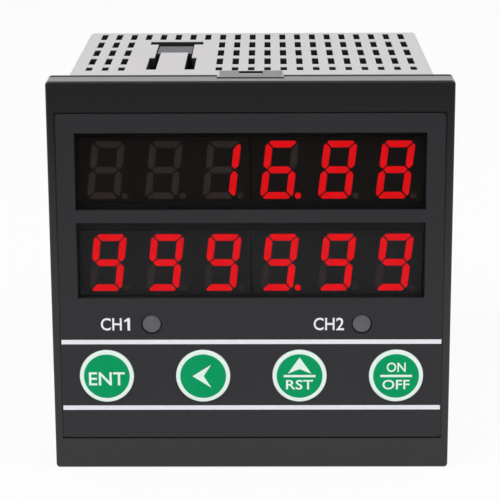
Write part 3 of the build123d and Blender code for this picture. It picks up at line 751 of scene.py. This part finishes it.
def solder_rule():
    """Grid of low cones that stand out from a board along Y."""
    rule = Rule("solder joints", {
        "Columns": "NodeSocketInt",
        "Rows": "NodeSocketInt",
        "Width": "NodeSocketFloat",
        "Height": "NodeSocketFloat",
        "Joint radius": "NodeSocketFloat",
        "Joint height": "NodeSocketFloat",
        "Place": "NodeSocketVector",
        "Turn": "NodeSocketVector",
        "Material": "NodeSocketMaterial",
    })
    given = rule.inputs
    grid = rule.node("GeometryNodeMeshGrid", None, {
        "Size X": given["Width"],
        "Size Y": given["Height"],
        "Vertices X": given["Columns"],
        "Vertices Y": given["Rows"],
    })
    cone = rule.node("GeometryNodeMeshCone", None, {
        "Vertices": JOINT_SIDES,
        "Radius Top": JOINT_TIP_SHARE * given["Joint radius"],
        "Radius Bottom": given["Joint radius"],
        "Depth": given["Joint height"],
    })
    joints = rule.node("GeometryNodeInstanceOnPoints", None, {"Points": grid, "Instance": cone})
    rule.finish(rule.node("GeometryNodeTransform", None, {
        "Geometry": joints,
        "Rotation": given["Turn"],
        "Translation": given["Place"],
    }))
    return rule


def add_solder_joints():
    """Joints where the display modules and the terminal pins go through their boards."""
    rule = solder_rule()
    shared = {"Joint radius": JOINT_R, "Joint height": JOINT_H, "Material": materials["brass"]}
    board_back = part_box("display_board")[1].y
    for row in ("upper", "lower"):
        for side in ("left", "right"):
            low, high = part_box(row + "_" + side + "_display")
            place = Vector(((low.x + high.x) / 2, board_back, (low.z + high.z) / 2))
            rule.make(row + "_" + side + "_module_joints", shared | {
                "Columns": MODULE_PIN_COLUMNS,
                "Rows": PIN_ROWS,
                "Width": (MODULE_PIN_COLUMNS - 1) * MODULE_PIN_PITCH,
                "Height": MODULE_ROW_SPACING,
                "Place": place,
                "Turn": Vector((-math.pi / 2, 0, 0)),
            }, "housing", "brass")
    pins_low, pins_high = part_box("terminal_pins")
    board_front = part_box("rear_board")[0].y
    rule.make("terminal_joints", shared | {
        "Columns": TERMINALS,
        "Rows": PIN_ROWS,
        "Width": pins_high.x - pins_low.x - PIN_W,
        "Height": pins_high.z - pins_low.z - PIN_W,
        "Place": Vector(((pins_low.x + pins_high.x) / 2, board_front, (pins_low.z + pins_high.z) / 2)),
        "Turn": Vector((math.pi / 2, 0, 0)),
    }, "housing", "brass")


def leg_rule():
    """Two rows of short flat legs along the opposite sides of a chip that lies flat on X."""
    rule = Rule("chip legs", {
        "Legs": "NodeSocketInt",
        "Pitch": "NodeSocketFloat",
        "Span": "NodeSocketFloat",
        "Leg": "NodeSocketVector",
        "Place": "NodeSocketVector",
        "Turn": "NodeSocketVector",
        "Material": "NodeSocketMaterial",
    })
    given = rule.inputs
    grid = rule.node("GeometryNodeMeshGrid", None, {
        "Size X": given["Span"],
        "Size Y": given["Pitch"] * (given["Legs"] - 1),
        "Vertices X": 2,
        "Vertices Y": given["Legs"],
    })
    leg = rule.node("GeometryNodeMeshCube", None, {"Size": given["Leg"]})
    legs = rule.node("GeometryNodeInstanceOnPoints", None, {"Points": grid, "Instance": leg})
    rule.finish(rule.node("GeometryNodeTransform", None, {
        "Geometry": legs,
        "Rotation": given["Turn"],
        "Translation": given["Place"],
    }))
    return rule


def add_chip_legs():
    """Legs on all four sides of the microcontroller."""
    rule = leg_rule()
    low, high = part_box("microcontroller")
    place = Vector((high.x - LEG_T / 2, (low.y + high.y) / 2, (low.z + high.z) / 2))
    turns = {"upright_chip_legs": (0, math.pi / 2, 0), "level_chip_legs": (math.pi / 2, math.pi / 2, 0)}
    for name, turn in turns.items():
        rule.make(name, {
            "Legs": LEG_COUNT,
            "Pitch": LEG_PITCH,
            "Span": high.z - low.z + LEG_L,
            "Leg": Vector((LEG_L, LEG_W, LEG_T)),
            "Place": place,
            "Turn": Vector(turn),
            "Material": materials["steel"],
        }, "housing", "steel")


add_solder_joints()
add_chip_legs()


# Stage, light and camera

def background_rays(tree, in_gloss=1):
    """One for the rays that see the background, straight, through glass or in a gloss of the share given."""
    straight, through, gloss = (
        tree.node("ShaderNodeLightPath", output=name)
        for name in ("Is Camera Ray", "Is Transmission Ray", "Is Glossy Ray")
    )
    return straight | through | gloss * in_gloss


def grey(share):
    """Neutral colour of a brightness."""
    return (share, share, share, 1.0)


def stage_material(name):
    """Empty material for the surroundings, with its node tree."""
    material = bpy.data.materials.new(name)
    material.use_nodes = True
    material.node_tree.nodes.clear()
    return material, Tree(material.node_tree)


def add_sheet(name, places, material):
    """Flat four-cornered sheet of the surroundings."""
    mesh = bpy.data.meshes.new(name)
    mesh.from_pydata(places, [], [(0, 1, 2, 3)])
    mesh.materials.append(material)
    sheet = bpy.data.objects.new(name, mesh)
    bpy.context.scene.collection.objects.link(sheet)
    return sheet


def add_floor():
    """Pale floor that keeps the counter's shadow, and gets dark in the front's gloss further out."""
    material, tree = stage_material("pale floor")
    ahead = cad_box[0].y - tree.parts(tree.node("ShaderNodeTexCoord", output="Object"))[1]
    far = ahead.above(FLOOR_REACH, FLOOR_FADE)
    mirrored = tree.node("ShaderNodeLightPath", output="Is Glossy Ray")
    colour = tree.blend(mirrored * far, grey(FLOOR_GREY), grey(CARD_GREY))
    paper = tree.node("ShaderNodeBsdfDiffuse", None, {"Color": colour})
    glow = tree.node("ShaderNodeEmission", None, {"Color": grey(1), "Strength": 1.0})
    share = FLOOR_GLOW * background_rays(tree, 1 - far)
    mixed = tree.node("ShaderNodeMixShader", None, {0: share, 1: paper, 2: glow})
    tree.node("ShaderNodeOutputMaterial", None, {"Surface": mixed})
    places = [(x, y, -FLOOR_DROP) for x, y in rectangle(FLOOR_SIZE, FLOOR_SIZE)]
    add_sheet("floor", places, material)


def add_card():
    """Dark card far in front, which nothing but gloss sees, so that the front mirrors a dark room."""
    material, tree = stage_material("dark card")
    paper = tree.node("ShaderNodeBsdfDiffuse", None, {"Color": grey(CARD_GREY)})
    tree.node("ShaderNodeOutputMaterial", None, {"Surface": paper})
    places = [CARD_PLACE + Vector((x, 0, z)) for x, z in rectangle(CARD_SIZE, CARD_SIZE)]
    card = add_sheet("dark card", places, material)
    card.visible_camera = False
    card.visible_diffuse = False
    card.visible_shadow = False


def add_world():
    """White background, and a softer even light for everything else."""
    world = bpy.data.worlds.new("studio")
    bpy.context.scene.world = world
    world.use_nodes = True
    tree = Tree(world.node_tree)
    background = world.node_tree.nodes["Background"]
    background.inputs["Color"].default_value = (1, 1, 1, 1)
    plug(world.node_tree, background.inputs["Strength"], AMBIENT + (1 - AMBIENT) * background_rays(tree))


def add_lamp(name, place, size, power):
    """Square soft lamp that looks at the counter."""
    light = bpy.data.lights.new(name, "AREA")
    light.size = size
    light.energy = power
    lamp = bpy.data.objects.new(name, light)
    lamp.location = place
    lamp.rotation_euler = (AIM - Vector(place)).to_track_quat("-Z", "Y").to_euler()
    bpy.context.scene.collection.objects.link(lamp)


def add_camera():
    """Camera at the place from which the photograph was taken."""
    lens = bpy.data.cameras.new("camera")
    lens.sensor_width = SENSOR
    lens.lens = LENS
    camera = bpy.data.objects.new("camera", lens)
    camera.location = CAMERA_PLACE
    level = (AIM - CAMERA_PLACE).to_track_quat("-Z", "Y")
    camera.rotation_euler = (level @ Quaternion((0, 0, 1), math.radians(ROLL))).to_euler()
    bpy.context.scene.collection.objects.link(camera)
    bpy.context.scene.camera = camera


add_floor()
add_card()
add_world()
for lamp_name, (lamp_place, lamp_size, lamp_power) in STUDIO_LAMPS.items():
    add_lamp(lamp_name, lamp_place, lamp_size, lamp_power)
add_camera()
bpy.context.scene.view_settings.view_transform = "Standard"
